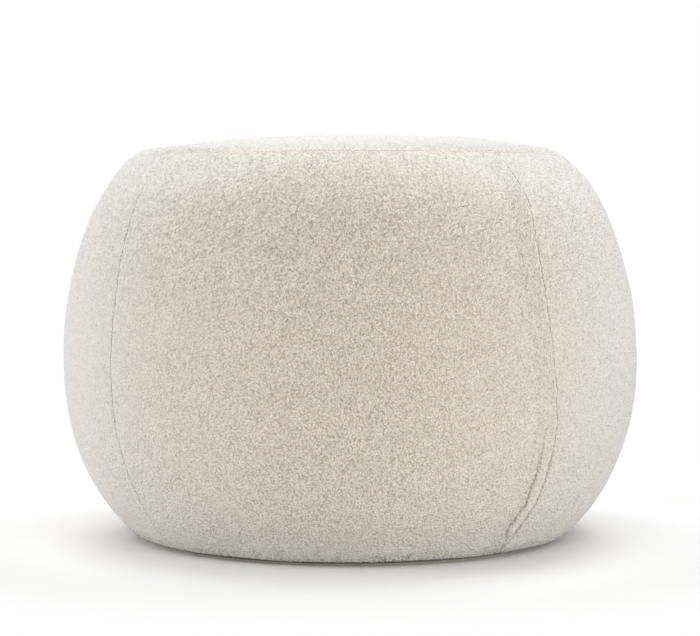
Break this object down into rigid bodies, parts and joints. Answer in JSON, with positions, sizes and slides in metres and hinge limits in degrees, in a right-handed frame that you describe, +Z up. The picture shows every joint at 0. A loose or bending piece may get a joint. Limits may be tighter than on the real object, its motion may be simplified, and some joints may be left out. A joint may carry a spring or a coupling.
{
  "type": "round ottoman",
  "caption": "Round filled ottoman in cream looped-pile cloth, with bulging sides in sewn panels, a crowned top and a flat underside.",
  "frame": {"origin": "centre of the underside, on the floor", "axes": "+Z up along the ottoman's axis; -Y through the middle of the front side panel, +X to its right"},
  "size_m": [0.52, 0.52, 0.356],
  "materials": {
    "cover_cloth": "cream curly looped pile, matt",
    "base_cloth": "plain woven beige, matt"
  },
  "bodies": {
    "root": {"top_panel": "cover_cloth", "side_panel_front": "cover_cloth", "side_panel_right": "cover_cloth", "side_panel_back": "cover_cloth", "side_panel_left": "cover_cloth", "base_panel": "base_cloth"}
  },
  "joints": []
}
